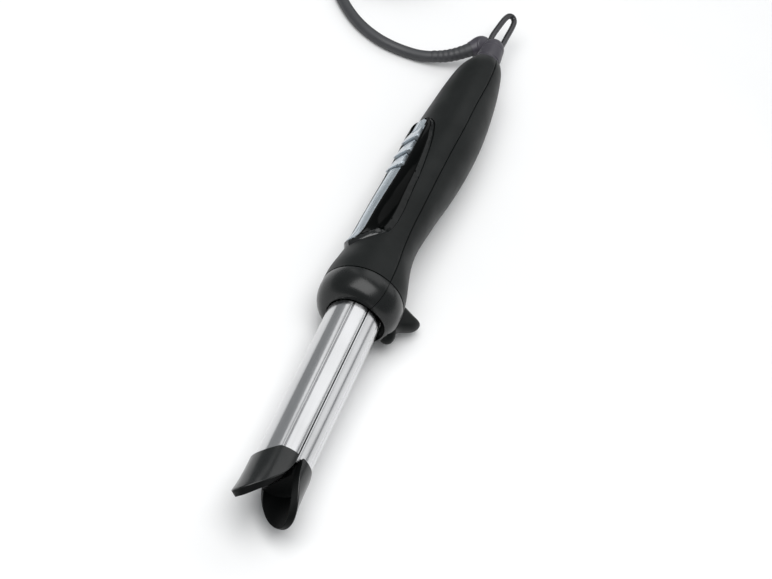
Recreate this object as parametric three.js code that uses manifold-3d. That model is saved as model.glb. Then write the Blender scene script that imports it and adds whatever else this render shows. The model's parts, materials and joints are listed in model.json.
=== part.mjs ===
// A curling iron with two half-barrel jaws, lying on its side as it rests on a table.
// Millimetres, +Z up. The iron is drawn in its own frame inside the group "iron":
// X to its left side, Y from the tips to the cord, Z to the side with the buttons,
// with Y = 0 at the mouth of the collar. The group then lays it on its side.
import * as THREE from 'three';
import { mergeVertices } from 'three/addons/utils/BufferGeometryUtils.js';
import Module from 'manifold-3d';

const wasm = await Module();
wasm.setup();

// ---------- driving dimensions ----------
const GAP = 0.3;                    // clearance where two pieces meet
const ROLL = THREE.MathUtils.degToRad(61);   // how far the iron lies over on its side

const BARREL_R = 12.5;              // a 25 mm barrel
const BARREL_WALL = 1.3;
const JAW_GAP = 0.8;                // between the flat faces of the closed jaws
const GROOVE_ANGLE = 36;            // of each groove, from the split, in degrees
const GROOVE_DEPTH = 0.7;
const BARREL_FRONT = -102;
const UPPER_BARREL_REAR = 14;
const LOWER_BARREL_REAR = 2.5;

const TIP_ROOT = -96;
const TIP_END = -126.5;
const TIP_WALL = 3.4;
const TIP_FLOOR = -105;             // where the scoop of a tip starts

const COLLAR_R = 20.7;
const COLLAR_LENGTH = 14.5;
const COLLAR_NOSE = 11;             // length of the rounded nose
const COLLAR_WALL = 2.1;
const MOUTH_R = 13.3;

const HINGE = { y: 8, z: -2.5, r: 1.5 };
const HANDLE_FRONT = COLLAR_LENGTH + GAP;
const HANDLE_REAR = 197;
const HANDLE_WALL = 2.2;
const TRIGGER_HALF = 5.5;

const PANEL_PROUD = 1.4;            // the control panel stands over the handle by this much
const STRIP_HALF = 6.8;
const STRIP_FRONT = 37.5;
const STRIP_REAR = 129.5;
const BUTTON_FRONT = 92;
const BUTTON_PITCH = 10.7;
const BUTTON_COUNT = 3;
const BUTTON_LENGTH = 10.1;
const BUTTONS_REAR = BUTTON_FRONT + (BUTTON_COUNT - 1) * BUTTON_PITCH + BUTTON_LENGTH;

const SWIVEL = { z: -5, neck: 5.6, body: 6.7, end: 5.8, dome: 211, rear: 217.5 };
const KNUCKLE = { centre: [-7, 215.6, -1.2], foot: [-1.5, 210.5, -4.3], r: 5.2, neck: 3.5 };

// The cord, in the frame of the whole object
const CORD_R = 3;
const BOOT_R = [3.7, 3.15];         // the strain relief tapers
const BOOT_ROUTE = [[-10.9, 154.4, 12.7], [-14.4, 151.4, 11.1], [-18.7, 148.7, 8.9], [-23.7, 146.7, 6.6],
  [-29.2, 145.1, 4.8]];
const CORD_ROUTE = [[-29.5, 145, 4.7], [-35.6, 143.6, 3.5], [-42, 142.9, 3], [-50, 142.6, 3], [-58, 143.6, 3],
  [-66, 146.2, 3], [-73.5, 150.3, 3], [-80.5, 155.9, 3], [-86.8, 162.6, 3], [-92.6, 170, 3], [-98.5, 177.6, 3],
  [-104.4, 185.2, 3], [-110.3, 192.8, 3.3], [-117.7, 199.2, 3.9]];
const COIL = { x: -83, y: 226, inner: 21.4, outer: 47.2, base: 0.9, top: 12.9 };
const PLUG = { x: -89, y: 259, z: 20.2, length: 35, pins: 19, spacing: 18.6, thick: 13.6 };
const PLUG_LEAD = [[-126, 236, 11.5], [-123.6, 243, 13.5], [-118.5, 250, 15.8], [-110.5, 255.6, 18],
  [-101, 258.4, 19.7], [-89.3, 259, 20.2]];

// Outlines of the handle along Y: [y, value]
const HANDLE_TOP = [[14.8, 20.7], [22, 20.4], [30, 19.2], [38, 18.1], [46, 17.5], [60, 17.0], [75, 16.2],
  [90, 15.2], [106, 14.4], [121, 13.6], [139, 12.4], [156, 10.9], [174, 9.1], [187, 6.9], [197, 3.2]];
const HANDLE_BOTTOM = [[14.8, -20.7], [20, -19.8], [25, -18.3], [31, -16.5], [38, -14.9], [46, -13.8],
  [54, -13.6], [66, -14.7], [82, -16.6], [98, -18.9], [115, -20.5], [131, -21.1], [146, -20.9],
  [161, -19.7], [176, -17.8], [187, -15.7], [197, -13.2]];
const HANDLE_HALF = [[14.8, 20.7], [22, 20.4], [30, 19.4], [39, 17.7], [51, 16.4], [62, 16.2], [74, 16.6],
  [92, 17.1], [110, 17.9], [131, 18.8], [151, 17.5], [172, 15.1], [185, 12.9], [192, 11.2], [197, 8.8]];
const HANDLE_SEAM = [[14.8, 0], [60, -0.3], [110, -0.5], [131, -1], [151, -1.9], [172, -3.8],
  [187, -4.6], [197, -5]];
const STATIONS = [14.8, 22, 30, 38, 46, 54, 62, 75, 90, 106, 121, 134, 147, 161, 174, 184, 190, 194, 197];

// Half outline of the control panel, seen from above: [x, y]
const PANEL = [[0, 33.5], [5, 35.6], [9.6, 38.6], [12.6, 41.8], [14, 46], [14.3, 58], [14.3, 80],
  [14, 98], [13.2, 112], [11.8, 121], [9, 127.6], [4.6, 130.9], [0, 131.6]];

// ---------- materials ----------
const paint = (color, roughness, metalness = 0) =>
  new THREE.MeshStandardMaterial({ color, roughness, metalness });
const aluminium = paint(0xc9cacd, 0.3, 0.9);
const steel = paint(0xa8abb0, 0.35, 0.9);
const satinBlack = paint(0x181b1a, 0.4);
const softBlack = paint(0x1d2020, 0.7);
const glossBlack = paint(0x050606, 0.08);
const silver = paint(0xb9c2c8, 0.3, 0.7);
const charcoal = paint(0x2f2e33, 0.5);
const heatPlastic = paint(0x3b362f, 0.6);
const ceramic = paint(0xe8e2d4, 0.7);
const boardGreen = paint(0x1f5a38, 0.5);
const wireRed = paint(0x8f2b25, 0.5);
const wireWhite = paint(0xd8d5cc, 0.5);
const pinBrass = paint(0xc7b074, 0.3, 0.9);

// ---------- helpers ----------
const rad = THREE.MathUtils.degToRad;

// Smooth value at y of an outline given as [y, value] points
function along(points, y) {
  const last = points.length - 1;
  let i = 0;
  while (i < last - 1 && y > points[i + 1][0]) i += 1;
  const slope = (k) => {
    const [a, b] = [Math.max(0, k - 1), Math.min(last, k + 1)];
    return (points[b][1] - points[a][1]) / (points[b][0] - points[a][0]);
  };
  const [[y0, v0], [y1, v1]] = [points[i], points[i + 1]];
  const [h, t] = [y1 - y0, THREE.MathUtils.clamp((y - y0) / (y1 - y0), 0, 1)];
  const [t2, t3] = [t * t, t * t * t];
  return (2 * t3 - 3 * t2 + 1) * v0 + (t3 - 2 * t2 + t) * h * slope(i)
    + (3 * t2 - 2 * t3) * v1 + (t3 - t2) * h * slope(i + 1);
}

// Closed body through rings of equally many points, capped at both ends
function loft(rings) {
  const n = rings[0].length;
  const positions = rings.flat().flatMap((p) => [p.x, p.y, p.z]);
  const index = [];
  for (let r = 0; r < rings.length - 1; r += 1) {
    for (let k = 0; k < n; k += 1) {
      const [a, b] = [r * n + k, r * n + (k + 1) % n];
      index.push(a, b, a + n, b, b + n, a + n);
    }
  }
  for (const [start, flip] of [[0, true], [(rings.length - 1) * n, false]]) {
    const centre = positions.length / 3;
    const middle = new THREE.Vector3();
    for (let k = 0; k < n; k += 1) middle.add(new THREE.Vector3().fromArray(positions, 3 * (start + k)));
    positions.push(...middle.divideScalar(n).toArray());
    for (let k = 0; k < n; k += 1) {
      const [a, b] = [start + k, start + (k + 1) % n];
      index.push(...(flip ? [centre, b, a] : [centre, a, b]));
    }
  }
  const geometry = new THREE.BufferGeometry();
  geometry.setAttribute('position', new THREE.Float32BufferAttribute(positions, 3));
  geometry.setIndex(index);
  return geometry;
}

function solid(geometry) {
  const bare = geometry.clone();
  bare.deleteAttribute('normal');
  bare.deleteAttribute('uv');
  const merged = mergeVertices(bare, 1e-4);
  const vertProperties = new Float32Array(merged.attributes.position.array);
  const triVerts = new Uint32Array(merged.index.array);
  return new wasm.Manifold(new wasm.Mesh({ numProp: 3, vertProperties, triVerts }));
}

function geometryOf(manifold) {
  const mesh = manifold.getMesh();
  const geometry = new THREE.BufferGeometry();
  geometry.setAttribute('position', new THREE.BufferAttribute(new Float32Array(mesh.vertProperties), 3));
  geometry.setIndex(new THREE.BufferAttribute(new Uint32Array(mesh.triVerts), 1));
  return geometry;
}

const iron = new THREE.Group();
const object = new THREE.Group();

function piece(name, shape, material, parent = iron) {
  const geometry = shape.isBufferGeometry ? shape : geometryOf(shape);
  const mesh = new THREE.Mesh(geometry, material);
  mesh.name = name;
  parent.add(mesh);
  return mesh;
}

const outline = (points) => new THREE.Shape(points.map(([x, y]) => new THREE.Vector2(x, y)));

// Extrusions of an outline along X (outline in Y, Z), along Y (in X, Z) and along Z (in X, Y)
function alongX(shape, x0, x1) {
  const body = new THREE.ExtrudeGeometry(shape, { depth: x1 - x0, bevelEnabled: false, curveSegments: 6 });
  const turn = new THREE.Matrix4().makeBasis(new THREE.Vector3(0, 1, 0), new THREE.Vector3(0, 0, 1),
    new THREE.Vector3(1, 0, 0));
  return body.applyMatrix4(turn).translate(x0, 0, 0);
}
function alongY(shape, y0, y1) {
  const body = new THREE.ExtrudeGeometry(shape, { depth: y1 - y0, bevelEnabled: false, curveSegments: 8 });
  return body.rotateX(Math.PI / 2).translate(0, y1, 0);
}
function alongZ(shape, z0, z1) {
  const body = new THREE.ExtrudeGeometry(shape, { depth: z1 - z0, bevelEnabled: false, curveSegments: 6 });
  return body.translate(0, 0, z0);
}
function box(x0, x1, y0, y1, z0, z1) {
  return new THREE.BoxGeometry(x1 - x0, y1 - y0, z1 - z0)
    .translate((x0 + x1) / 2, (y0 + y1) / 2, (z0 + z1) / 2);
}
const rod = (r, y0, y1, z = 0, x = 0, sides = 32) =>
  new THREE.CylinderGeometry(r, r, y1 - y0, sides).translate(x, (y0 + y1) / 2, z);
const pin = (r, x0, x1, y, z, sides = 20) =>
  new THREE.CylinderGeometry(r, r, x1 - x0, sides).rotateZ(Math.PI / 2).translate((x0 + x1) / 2, y, z);
const turned = (profile, sides = 40) =>
  new THREE.LatheGeometry(profile.map(([r, y]) => new THREE.Vector2(r, y)), sides);

// A round wire or tube along a list of points
function tube(points, radius, steps, sides = 8) {
  const path = new THREE.CatmullRomCurve3(points.map((p) => new THREE.Vector3(...p)));
  const section = new THREE.Shape();
  for (let k = 0; k < sides; k += 1) {
    const a = (2 * Math.PI * k) / sides;
    const corner = [radius * Math.cos(a), radius * Math.sin(a)];
    if (k === 0) section.moveTo(...corner);
    else section.lineTo(...corner);
  }
  return new THREE.ExtrudeGeometry(section, { steps, extrudePath: path, bevelEnabled: false });
}

// ---------- barrel ----------
// Outline in X, Z of one half of the barrel's outside; side is +1 for the upper half
function halfDisc(r, flat, side, grooves = 0) {
  const start = Math.asin(flat / r);
  const points = [];
  const marks = grooves ? [GROOVE_ANGLE, 180 - GROOVE_ANGLE] : [];
  const steps = 24;
  for (let k = 0; k <= steps; k += 1) {
    const a = start + ((Math.PI - 2 * start) * k) / steps;
    if (marks.some((m) => Math.abs(THREE.MathUtils.radToDeg(a) - m) < 4)) continue;
    points.push([a, r]);
  }
  for (const m of marks) {
    for (const [offset, depth] of [[-3, 0], [0, grooves], [3, 0]]) points.push([rad(m + offset), r - depth]);
  }
  points.sort((p, q) => side * (p[0] - q[0]));
  return outline(points.map(([a, d]) => [d * Math.cos(a), side * d * Math.sin(a)]));
}

function halfBarrel(name, side, rear) {
  const shape = halfDisc(BARREL_R, JAW_GAP / 2, side, GROOVE_DEPTH);
  shape.holes.push(halfDisc(BARREL_R - BARREL_WALL, JAW_GAP / 2 + BARREL_WALL, side));
  piece(name, alongY(shape, BARREL_FRONT, rear), aluminium);
}

// ---------- tips ----------
const TIP_OUTER = [[-126.5, 15.6], [-122, 15], [-116, 14.3], [-108, 13.9], [-96, 13.8]];
// Angle above the split where the rim of the scoop runs
const TIP_RIM = [[-126.5, 84], [-124.5, 73], [-121.3, 58], [-118.9, 45], [-115.7, 32], [-111.4, 19],
  [-108.5, 13], [-104.5, 7]];

function tip(name, side) {
  const steps = 14;
  const stations = [TIP_FLOOR + 0.5, -108.5, -111.4, -114, -116.5, -118.9, -121.3, -123.4, -125, TIP_END];
  const rings = stations.map((y) => {
    const [outer, rim] = [along(TIP_OUTER, y), rad(along(TIP_RIM, y))];
    const arc = (r, from, to) => Array.from({ length: steps + 1 }, (_, k) => {
      const a = from + ((to - from) * k) / steps;
      return new THREE.Vector3(r * Math.cos(a), y, side * r * Math.sin(a));
    });
    const ring = [...arc(outer, rim, Math.PI - rim), ...arc(outer - TIP_WALL, Math.PI - rim, rim)];
    return side > 0 ? ring : ring.reverse();
  });
  const scoop = solid(loft(rings));
  const split = JAW_GAP / 2;
  const profile = [[0, TIP_FLOOR], [along(TIP_OUTER, TIP_FLOOR), TIP_FLOOR], [13.8, TIP_ROOT], [0, TIP_ROOT]];
  let root = solid(turned(profile)).intersect(solid(side > 0 ? box(-20, 20, -130, 0, split, 20)
    : box(-20, 20, -130, 0, -20, -split)));
  // the root edge runs back towards the tip over the crown of the barrel
  const crown = outline([[TIP_ROOT + 1, side * 8.1], [TIP_ROOT + 1, side * 20], [-107, side * 20]]);
  root = root.subtract(solid(alongX(crown, -20, 20)));
  root = root.subtract(solid(alongY(halfDisc(BARREL_R + GAP, 0.01, side), BARREL_FRONT - GAP, 0)));
  const plug = halfDisc(BARREL_R - BARREL_WALL - GAP, JAW_GAP / 2 + BARREL_WALL + GAP, side);
  const spigot = solid(alongY(plug, TIP_FLOOR + 1, BARREL_FRONT + 8));
  piece(name, scoop.add(root).add(spigot), satinBlack);
}

// ---------- collar ----------
function collarProfile() {
  const nose = [];
  for (let k = 0; k <= 7; k += 1) {
    const a = (Math.PI / 2) * (k / 7);
    nose.push([MOUTH_R + (COLLAR_R - MOUTH_R) * Math.sin(a), COLLAR_NOSE * (1 - Math.cos(a))]);
  }
  const inside = COLLAR_R - COLLAR_WALL;
  return [...nose, [COLLAR_R, COLLAR_LENGTH], [inside, COLLAR_LENGTH], [inside, 9], [inside - 0.8, 5.6],
    [inside - 2.6, 3.2], [MOUTH_R, 2.2], nose[0]];
}

function collar() {
  const ring = solid(turned(collarProfile()));
  const upper = ring.intersect(solid(box(-30, 30, -5, 30, GAP / 2, 30)));
  let lower = ring.intersect(solid(box(-30, 30, -5, 30, -30, -GAP / 2)));
  // room for the lower jaw to drop at the mouth, and the slot for the trigger
  lower = lower.subtract(solid(rod(MOUTH_R + 0.2, -2, 5, -1.2)));
  lower = lower.subtract(solid(box(-TRIGGER_HALF - 0.4, TRIGGER_HALF + 0.4, 2.9, 30, -30, -10)));
  piece('collar_upper', upper, satinBlack);
  piece('collar_lower', lower, satinBlack);
}

// ---------- handle ----------
function handleSolid(offset, from = HANDLE_FRONT, to = HANDLE_REAR) {
  const sides = 32;
  const stations = [from, ...STATIONS.filter((y) => y > from + 1 && y < to - 1), to];
  return solid(loft(stations.map((y) => {
    const seam = along(HANDLE_SEAM, y);
    const [half, up] = [along(HANDLE_HALF, y) + offset, along(HANDLE_TOP, y) - seam + offset];
    const down = seam - along(HANDLE_BOTTOM, y) + offset;
    return Array.from({ length: sides }, (_, k) => {
      const a = (-2 * Math.PI * k) / sides;
      const z = seam + Math.sin(a) * (Math.sin(a) > 0 ? up : down);
      return new THREE.Vector3(half * Math.cos(a), y, z);
    });
  })));
}

// Everything above (side 1) or below (side -1) the seam of the handle
function seamBlock(side) {
  const far = side * 60;
  const points = [[-5, side * GAP / 2], ...STATIONS.map((y) => [y, along(HANDLE_SEAM, y) + side * GAP / 2]),
    [250, along(HANDLE_SEAM, HANDLE_REAR) + side * GAP / 2], [250, far], [-5, far]];
  return solid(alongX(outline(points), -40, 40));
}

function panelPrism(grow) {
  const right = PANEL.map(([x, y], i) => {
    const push = i === 0 ? -grow : (i === PANEL.length - 1 ? grow : 0);
    return [x + (x > 0 ? grow : 0), y + push];
  });
  const left = right.slice(1, -1).reverse().map(([x, y]) => [-x, y]);
  return solid(alongZ(outline([...right, ...left]), 0, 40));
}

const SCREW_Y = [142, 170];

function handle() {
  const shell = handleSolid(0).subtract(handleSolid(-HANDLE_WALL, 5, HANDLE_REAR - HANDLE_WALL))
    .subtract(solid(rod(SWIVEL.neck + 0.4, 185, 205, SWIVEL.z)));
  let upper = shell.intersect(seamBlock(1)).subtract(panelPrism(GAP));
  let lower = shell.intersect(seamBlock(-1));
  lower = lower.subtract(solid(box(-TRIGGER_HALF - 0.4, TRIGGER_HALF + 0.4, 5, 33, -40, -8)));
  // screw pillars: a hollow post in the lower shell, a post with a pilot hole in the upper one
  SCREW_Y.forEach((y) => {
    const bottom = along(HANDLE_BOTTOM, y);
    const seam = along(HANDLE_SEAM, y);
    const post = (r, z0, z1) => solid(new THREE.CylinderGeometry(r, r, z1 - z0, 20)
      .rotateX(Math.PI / 2).translate(0, y, (z0 + z1) / 2));
    const inside = handleSolid(-0.6, 40, 190);
    lower = lower.add(post(4.6, bottom, seam - 1).intersect(inside))
      .subtract(post(3.6, bottom - 2, bottom + 6)).subtract(post(1.7, bottom, seam + 2));
    upper = upper.add(post(3.6, seam - 1 + GAP, along(HANDLE_TOP, y) + 2).intersect(inside)
      .subtract(panelPrism(GAP))).subtract(post(1.7, seam - 3, seam + 8));
    const screw = post(1.3, bottom + 5.5, seam + 6).add(post(3.1, bottom + 3.6, bottom + 5.7));
    piece(`handle_screw_${y < 150 ? 'front' : 'rear'}`, screw, steel);
  });
  piece('handle_upper', upper, softBlack);
  piece('handle_lower', lower, softBlack);
}

// ---------- control panel ----------
const STEM_DROP = 4.2;              // of a button's stem, below the handle's outer face
const SWITCH_UNDER = 1.1;           // from the stem to the switch
function buttonPrism(i, grow) {
  const front = BUTTON_FRONT + i * BUTTON_PITCH;
  const rear = front + BUTTON_LENGTH;
  const points = [[-5.4 - grow, front - grow], [5.4 + grow, front - grow], [8 + grow, front + 3.6],
    [6.3 + grow, rear + grow], [-6.3 - grow, rear + grow], [-8 - grow, front + 3.6]];
  return solid(alongZ(outline(points), 6, 40));
}

function controlPanel() {
  const skin = (out, into) => handleSolid(out, 20, 150).subtract(handleSolid(into, 18, 152));
  let well = buttonPrism(0, 0.35);
  for (let i = 1; i < BUTTON_COUNT; i += 1) well = well.add(buttonPrism(i, 0.35));
  const stripPrism = (grow) => {
    const [w, a, b] = [STRIP_HALF + grow, STRIP_FRONT - grow, STRIP_REAR + grow];
    return solid(alongZ(outline([[-3, a], [3, a], [w, a + 3], [w, b - 4], [3.5, b], [-3.5, b], [-w, b - 4],
      [-w, a + 3]]), 0, 40));
  };
  const bezel = skin(PANEL_PROUD, -1.9).intersect(panelPrism(0)).subtract(stripPrism(0)).subtract(well);
  piece('panel_bezel', bezel, glossBlack);
  const between = solid(box(-10, 10, BUTTON_FRONT + 1, BUTTONS_REAR + 0.35, 0, 40));
  const strip = skin(PANEL_PROUD - 0.1, -0.7).intersect(stripPrism(-GAP)).subtract(well).subtract(between);
  const wellMiddle = (BUTTON_FRONT + BUTTONS_REAR) / 2;
  piece('panel_strip_front', strip.intersect(solid(box(-20, 20, 0, wellMiddle, 0, 40))), silver);
  piece('panel_strip_rear', strip.intersect(solid(box(-20, 20, wellMiddle, 200, 0, 40))), silver);

  const names = ['button_power', 'button_heat_up', 'button_heat_down'];
  names.forEach((name, i) => {
    const front = BUTTON_FRONT + i * BUTTON_PITCH;
    const rear = front + BUTTON_LENGTH;
    const [high, low] = [[front, 1.3], [rear, 0.1]]
      .map(([y, over]) => along(HANDLE_TOP, y) + PANEL_PROUD + over);
    const slope = outline([[front - 1, high], [rear + 1, low], [rear + 1, 40], [front - 1, 40]]);
    const cap = handleSolid(PANEL_PROUD + 1.5, 60, 150).subtract(solid(alongX(slope, -20, 20)));
    const stemFloor = along(HANDLE_TOP, rear) - STEM_DROP;
    const hollow = handleSolid(-2.2, 60, 150);
    const body = cap.subtract(hollow).intersect(buttonPrism(i, 0));
    const middle = (front + rear) / 2;
    const stem = solid(box(-1.6, 1.6, middle - 1.6, middle + 1.6, stemFloor, along(HANDLE_TOP, middle)));
    piece(name, body.add(stem), silver);
    const switchTop = stemFloor - SWITCH_UNDER;
    piece(`switch_${i + 1}`, solid(box(-3, 3, middle - 3, middle + 3, switchTop - 2.6, switchTop - 0.6))
      .add(solid(box(-1.4, 1.4, middle - 1.4, middle + 1.4, switchTop - 1, switchTop))), satinBlack);
  });
}

// ---------- electronics in the handle ----------
const BOARD_Z = along(HANDLE_TOP, BUTTONS_REAR) - STEM_DROP - SWITCH_UNDER - 3.3;
function electronics() {
  piece('circuit_board', box(-11.5, 11.5, 76, 134, BOARD_Z - 1.9, BOARD_Z - 0.3), boardGreen);
  piece('mains_capacitor', box(-6, 6, 104, 120, BOARD_Z - 11, BOARD_Z - 2.2), paint(0xb08a2a, 0.5));
  piece('triac', box(-5, 5, 84, 98, BOARD_Z - 6.6, BOARD_Z - 2.2), satinBlack);
  piece('indicator_led', new THREE.CylinderGeometry(1.5, 1.5, 2.4, 16).rotateX(Math.PI / 2)
    .translate(0, 82, BOARD_Z + 1.3), paint(0xd84f3a, 0.3));
  const leads = [[-4.5, 'live', wireRed], [4.5, 'neutral', wireWhite]];
  leads.forEach(([x, wire, material]) => {
    piece(`mains_lead_${wire}`, tube([[x, 128, BOARD_Z - 3.4], [x * 1.8, 142, -6], [x * 1.7, 168, -6],
      [x * 0.7, 180, SWIVEL.z], [x * 0.5, 187, SWIVEL.z]], 1, 14, 6), material);
    piece(`upper_heater_lead_${wire}`, tube([[x, -21.5, 3.4], [x, 0, 5.5], [x, 30, 5.5], [x, 60, 2],
      [x * 1.8, 78, BOARD_Z - 3.4]], 0.9, 14, 6), material);
  });
}

// ---------- heaters ----------
function heater(prefix, side) {
  const floor = JAW_GAP / 2 + BARREL_WALL + GAP;
  const flip = (z0, z1) => (side > 0 ? [z0, z1] : [-z1, -z0]);
  piece(`${prefix}_heater`, box(-7, 7, -88, -22, ...flip(floor, floor + 2.8)), ceramic);
  const low = floor + 2.8 + GAP;
  const high = Math.sqrt((BARREL_R - BARREL_WALL - 0.4) ** 2 - 25);
  const wave = [];
  const back = [];
  for (let k = 0; k <= 18; k += 1) {
    const y = -86 + (62 * k) / 18;
    const z = low + 0.3 + (high - low - 0.6) * 0.5 * (1 - Math.cos((k / 18) * 6 * Math.PI));
    wave.push([y, side * (z - 0.3)]);
    back.unshift([y, side * (z + 0.3)]);
  }
  piece(`${prefix}_heater_spring`, alongX(outline([...wave, ...back]), -5, 5), steel);
}

function sensors() {
  piece('thermal_fuse', rod(1.6, -18, -6, 8, 0, 12), aluminium);
  piece('temperature_sensor', box(-1.5, 1.5, -16, -11, 2.1, 4), ceramic);
}

// ---------- hinge of the lower jaw ----------
function jawFrame() {
  const above = solid(box(-20, 20, 0, 40, JAW_GAP / 2, 20));
  let frame = solid(rod(15.5, 4, 24, 0, 0, 36)).intersect(above);
  frame = frame.subtract(solid(alongY(halfDisc(BARREL_R + GAP, 0.01, 1), 2, UPPER_BARREL_REAR + GAP)));
  const plug = halfDisc(BARREL_R - BARREL_WALL - GAP, JAW_GAP / 2 + BARREL_WALL + GAP, 1);
  frame = frame.add(solid(alongY(plug, 7, UPPER_BARREL_REAR + 1)));
  frame = frame.subtract(solid(box(-7, 7, 0, 40, 3.9, 7.2)));
  for (const s of [-1, 1]) {
    const [a, b] = [s * 12.9, s * 15.4].sort((p, q) => p - q);
    const ear = outline([[4.4, 0.6], [4.4, -3.5], [6, -5.6], [10, -5.6], [12.5, -3], [14.5, 0.6]]);
    frame = frame.add(solid(alongX(ear, a, b)));
  }
  frame = frame.subtract(solid(pin(HINGE.r + GAP, -20, 20, HINGE.y, HINGE.z)));
  piece('jaw_frame', frame, heatPlastic);
  piece('hinge_axle', pin(HINGE.r, -16.5, 16.5, HINGE.y, HINGE.z), steel);
  for (const [name, s] of [['axle_clip_left', 1], ['axle_clip_right', -1]]) {
    const clip = solid(pin(3, 15.7, 16.3, HINGE.y, HINGE.z))
      .subtract(solid(pin(HINGE.r + GAP, 14, 18, HINGE.y, HINGE.z)));
    piece(name, s > 0 ? clip : clip.mirror([1, 0, 0]), steel);
  }
  const turns = 4;
  const coil = [[-3.4, HINGE.y + 5.5, HINGE.z + 2.2]];
  for (let k = 0; k <= turns * 8; k += 1) {
    const a = (Math.PI / 2) - (k / 8) * 2 * Math.PI;
    coil.push([-3.4 + (6.8 * k) / (turns * 8), HINGE.y + 2.4 * Math.cos(a), HINGE.z + 2.4 * Math.sin(a) - 0.2]);
  }
  piece('jaw_spring', tube(coil, 0.45, 60, 5), steel);
}

function jawLever() {
  const plug = halfDisc(BARREL_R - BARREL_WALL - GAP, JAW_GAP / 2 + BARREL_WALL + GAP, -1);
  let lever = solid(alongY(plug, -5, 3.4));
  lever = lever.add(solid(alongY(halfDisc(12.3, 0.9, -1), LOWER_BARREL_REAR + GAP, 4.8)));
  for (const [x0, x1] of [[-12.4, -4.6], [4.6, 12.4]]) {
    lever = lever.add(solid(pin(2.6, x0, x1, HINGE.y, HINGE.z)));
    lever = lever.add(solid(box(x0, x1, 4.6, HINGE.y + 1, -8.5, HINGE.z - 1.2)));
  }
  const arm = outline([[4.4, -7.6], [22, -9.4], [24, -11], [24, -14.4], [4.4, -11.6]]);
  lever = lever.add(solid(alongX(arm, -4.8, 4.8)));
  lever = lever.subtract(solid(pin(HINGE.r + GAP, -20, 20, HINGE.y, HINGE.z)));
  piece('jaw_lever', lever, heatPlastic);
}

function trigger() {
  const side = new THREE.Shape();
  side.moveTo(6.4, -12.8);
  side.lineTo(3.4, -16.4);
  side.lineTo(3.2, -20.6);
  side.quadraticCurveTo(3.6, -23.2, 6, -23.4);
  side.quadraticCurveTo(7.6, -23.4, 8.6, -22.9);
  side.quadraticCurveTo(11.5, -22.4, 14.6, -24.4);
  side.quadraticCurveTo(18.5, -27.4, 20.2, -30.6);
  side.quadraticCurveTo(22.4, -33, 25.4, -32.4);
  side.quadraticCurveTo(27.4, -31.6, 27.2, -29.2);
  side.lineTo(27, -12.6);
  side.lineTo(25, -12.6);
  side.lineTo(25, -15);
  const blade = solid(alongX(side, -TRIGGER_HALF, TRIGGER_HALF));
  piece('trigger', blade, satinBlack);
}

// ---------- cord swivel, hanging loop and knuckle ----------
function swivel() {
  const { neck, body, end, dome, rear, z } = SWIVEL;
  const profile = [[0, 187.5], [7.2, 187.5], [7.2, 190], [neck, 190], [neck, HANDLE_REAR + GAP],
    [body, HANDLE_REAR + GAP + 0.2], [body - 0.3, 205], [end, dome]];
  for (let k = 1; k <= 6; k += 1) {
    const a = (Math.PI / 2) * (k / 6);
    profile.push([end * Math.cos(a), dome + (rear - dome) * Math.sin(a)]);
  }
  const stub = solid(turned(profile, 24).translate(0, 0, z));
  const loopPath = [[0, 212, -1.6], [0, 219, -1.2], [0, 228, -2.2], [0, 236, -3.4], [0, 240.4, -5],
    [0, 241.5, -7.2], [0, 239.6, -9], [0, 234, -9.3], [0, 226, -8.9], [0, 218, -8.6], [0, 212, -8.2]];
  const ring = tube(loopPath, 1.5, 28, 8);
  const elbow = (grow) => solid(new THREE.SphereGeometry(KNUCKLE.r + grow, 16, 10).translate(...KNUCKLE.centre))
    .add(solid(tube([KNUCKLE.foot, KNUCKLE.centre], KNUCKLE.neck + grow, 1, 12)));
  const loopSocket = solid(tube(loopPath, 1.5 + GAP, 28, 8));
  piece('swivel_stub', stub.subtract(loopSocket).subtract(elbow(GAP)), charcoal);
  piece('hanging_loop', ring, charcoal);
  piece('cord_knuckle', elbow(0).subtract(loopSocket), charcoal);
  const retainer = solid(turned([[5.6, 184.8], [8.1, 184.8], [8.1, 187.1], [5.6, 187.1], [5.6, 184.8]], 24)
    .translate(0, 0, z));
  piece('swivel_retainer', retainer, steel);
}

// ---------- cord ----------
function cordBoot() {
  const path = new THREE.CatmullRomCurve3(BOOT_ROUTE.map((p) => new THREE.Vector3(...p)));
  const steps = 8;
  const frames = path.computeFrenetFrames(steps);
  const rings = Array.from({ length: steps + 1 }, (_, i) => {
    const r = BOOT_R[0] + ((BOOT_R[1] - BOOT_R[0]) * i) / steps;
    return Array.from({ length: 12 }, (_v, k) => {
      const a = (2 * Math.PI * k) / 12;
      return path.getPointAt(i / steps).addScaledVector(frames.normals[i], r * Math.cos(a))
        .addScaledVector(frames.binormals[i], r * Math.sin(a));
    });
  });
  const knuckle = solid(new THREE.SphereGeometry(KNUCKLE.r + GAP, 16, 10)
    .translate(...KNUCKLE.centre).rotateY(iron.rotation.y).translate(...iron.position.toArray()));
  piece('cord_boot', solid(loft(rings)).subtract(knuckle), charcoal, object);
}

function coilSolid(grow) {
  const { inner, outer, base, top } = COIL;
  return solid(turned([[inner - grow, base - grow], [outer + grow, base - grow], [outer + grow, top + grow],
    [inner - grow, top + grow], [inner - grow, base - grow]], 32).rotateX(Math.PI / 2)
    .translate(COIL.x, COIL.y, 0));
}

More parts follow.
